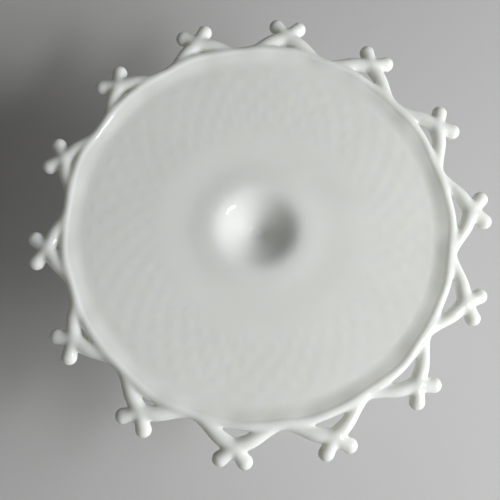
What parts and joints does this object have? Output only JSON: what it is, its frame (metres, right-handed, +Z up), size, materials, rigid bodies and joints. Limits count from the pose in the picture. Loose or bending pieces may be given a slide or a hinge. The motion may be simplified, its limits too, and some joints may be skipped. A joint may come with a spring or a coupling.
{
  "type": "cake stand",
  "caption": "Footed cake stand in opaque white pressed glass: a round plate with a low lip, a sunken centre and an openwork lace edge, on a fluted pedestal.",
  "frame": {"origin": "centre of the foot, on the surface that the stand stands on", "axes": "+Z up along the stand's axis, +X through the middle of lace_cross_01"},
  "size_m": [0.2788, 0.275, 0.12],
  "materials": {
    "milk_glass": "gloss"
  },
  "bodies": {
    "root": {"plate": "milk_glass", "lace_cross_01": "milk_glass", "lace_cross_02": "milk_glass", "lace_cross_03": "milk_glass", "lace_cross_04": "milk_glass", "lace_cross_05": "milk_glass", "lace_cross_06": "milk_glass", "lace_cross_07": "milk_glass", "lace_cross_08": "milk_glass", "lace_cross_09": "milk_glass", "lace_cross_10": "milk_glass", "lace_cross_11": "milk_glass", "lace_cross_12": "milk_glass", "lace_cross_13": "milk_glass", "lace_cross_14": "milk_glass", "joining_wafer": "milk_glass", "pedestal": "milk_glass"}
  },
  "joints": []
}
